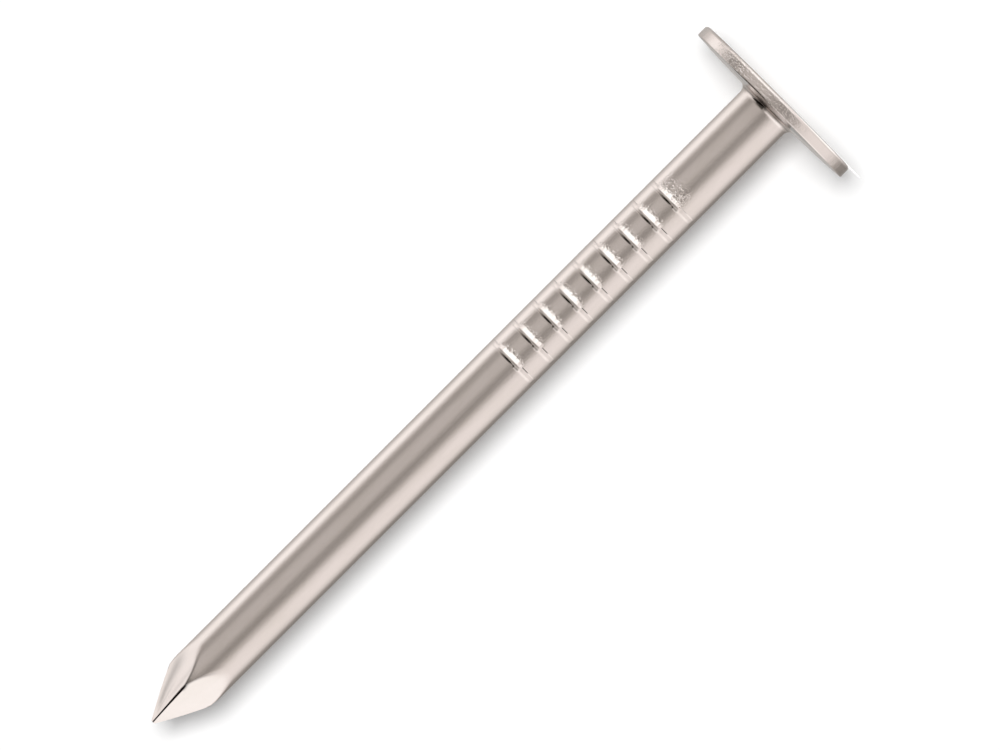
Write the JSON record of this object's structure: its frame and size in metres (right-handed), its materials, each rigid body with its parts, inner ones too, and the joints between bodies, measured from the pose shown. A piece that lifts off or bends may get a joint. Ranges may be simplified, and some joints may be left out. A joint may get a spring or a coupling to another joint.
{
  "type": "roofing nail",
  "caption": "Smooth-shank steel roofing nail with a broad flat head, a row of gripper marks below the head and a four-sided diamond point.",
  "frame": {"origin": "centre of the struck face of the head, which the nail stands on", "axes": "+Z along the shank towards the point, -Y the front, where one of the two pinched seams and the higher side of one row of gripper marks face"},
  "size_m": [0.01, 0.01, 0.0441],
  "materials": {
    "steel": "bright drawn steel wire, polished along the shank, with pressed gripper marks, a mottled head rim and bright pinched faces on the point"
  },
  "bodies": {
    "root": {"nail": "steel"}
  },
  "joints": []
}
